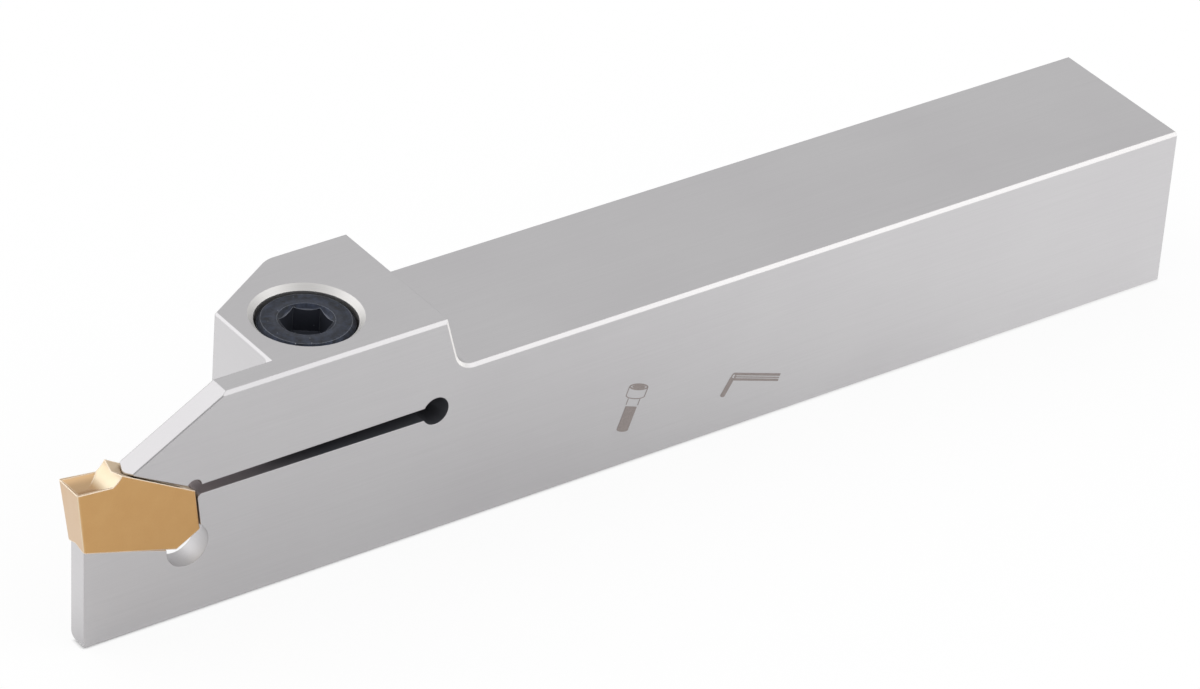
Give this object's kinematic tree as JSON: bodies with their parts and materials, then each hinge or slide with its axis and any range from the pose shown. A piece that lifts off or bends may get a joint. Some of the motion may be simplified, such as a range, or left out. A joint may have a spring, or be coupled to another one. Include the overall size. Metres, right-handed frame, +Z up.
{
  "type": "grooving tool holder",
  "caption": "Lathe tool holder with a square shank and a slim blade. A slit jaw, drawn down by a sunken socket screw, grips a gold-coated grooving insert on a vee seat.",
  "frame": {"origin": "bottom centre of the box around the whole tool: on the plane of the shank's base, midway between the cutting edge and the shank's end, and midway between the insert's cutting-side corner and the back of the shank", "axes": "+X from the cutting edge along the shank to its plain end, +Y from the cutting side with the blade to the back, +Z up out of the shank's top"},
  "size_m": [0.118, 0.0162, 0.0212],
  "materials": {
    "holder_steel": "fine ground and satin nickelled tool steel, broken edges brighter",
    "screw_black_oxide": "black oxide on alloy steel, slightly oily",
    "insert_coating": "matt gold titanium nitride coating on pressed carbide"
  },
  "bodies": {
    "root": {"holder_body": "holder_steel", "clamp_screw": "screw_black_oxide", "cutting_insert": "insert_coating"}
  },
  "joints": []
}
